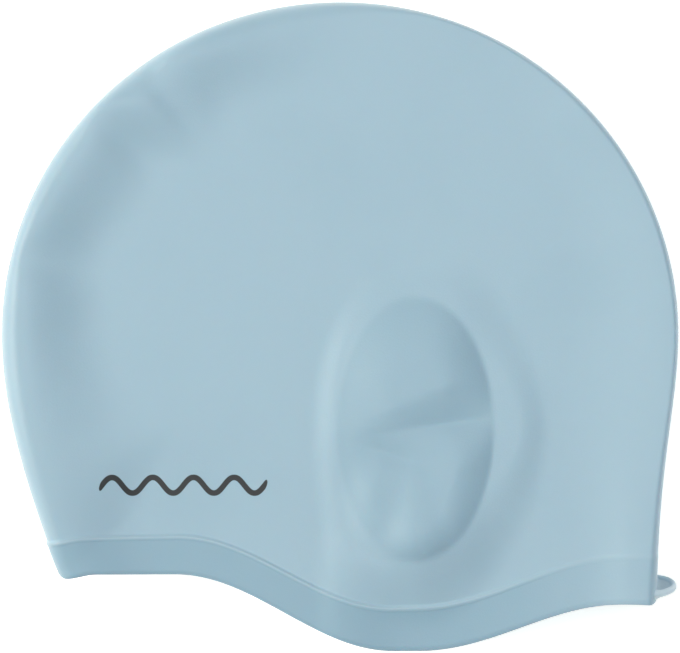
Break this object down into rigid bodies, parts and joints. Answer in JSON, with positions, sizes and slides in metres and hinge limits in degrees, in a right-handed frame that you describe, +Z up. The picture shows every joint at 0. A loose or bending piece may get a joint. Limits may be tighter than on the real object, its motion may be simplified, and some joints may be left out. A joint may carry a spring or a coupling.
{
  "type": "swim cap",
  "caption": "Moulded silicone swim cap with ear pockets, a thicker rim band and a pull tab at the back, relaxed and lying on its side.",
  "frame": {"origin": "on the floor, under the middle of the cap's box as it lies on its side", "axes": "+Z up from the floor, +Y towards the crown with the mouth facing -Y, -X towards the front of the head"},
  "size_m": [0.225, 0.2156, 0.0375],
  "materials": {
    "silicone": "satin"
  },
  "bodies": {
    "root": {"cap": "silicone"}
  },
  "joints": []
}
